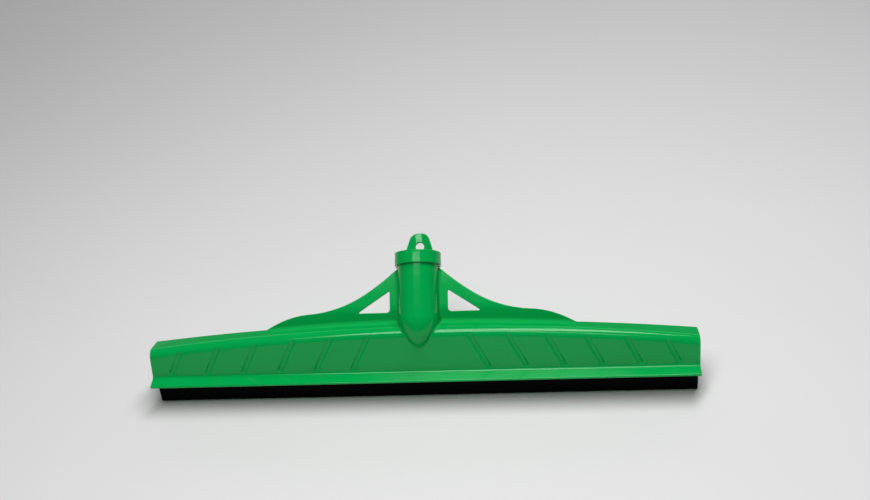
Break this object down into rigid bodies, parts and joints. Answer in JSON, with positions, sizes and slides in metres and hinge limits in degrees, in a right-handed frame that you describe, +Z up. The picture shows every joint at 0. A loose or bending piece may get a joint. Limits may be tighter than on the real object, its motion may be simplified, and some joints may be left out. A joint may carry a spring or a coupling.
{
  "type": "foam floor squeegee head",
  "caption": "Long arched squeegee head with slanting grooves, pierced wings, a leaning handle socket with a hanging eye, and foam strips on a rail that slides out at either end.",
  "frame": {"origin": "on the floor, at the middle of the front foam strip's foot, with the head standing on its two foam strips", "axes": "+X along the head, -Y to the front with the grooved panel, +Z up; the socket leans back towards +Y"},
  "size_m": [0.45, 0.0984, 0.1183],
  "materials": {
    "green_plastic": "gloss",
    "grey_plastic": "satin",
    "black_foam": "matte"
  },
  "bodies": {
    "head": {"head_channel": "green_plastic", "handle_socket": "green_plastic", "wing_left": "green_plastic", "wing_right": "green_plastic", "hanging_collar": "green_plastic"},
    "refill": {"refill_rail": "grey_plastic", "foam_front": "black_foam", "foam_rear": "black_foam"}
  },
  "joints": [
    {"name": "refill_slide", "type": "slide", "parent": "head", "child": "refill", "axis": [1, 0, 0], "range_m": [-0.4, 0.4]}
  ]
}
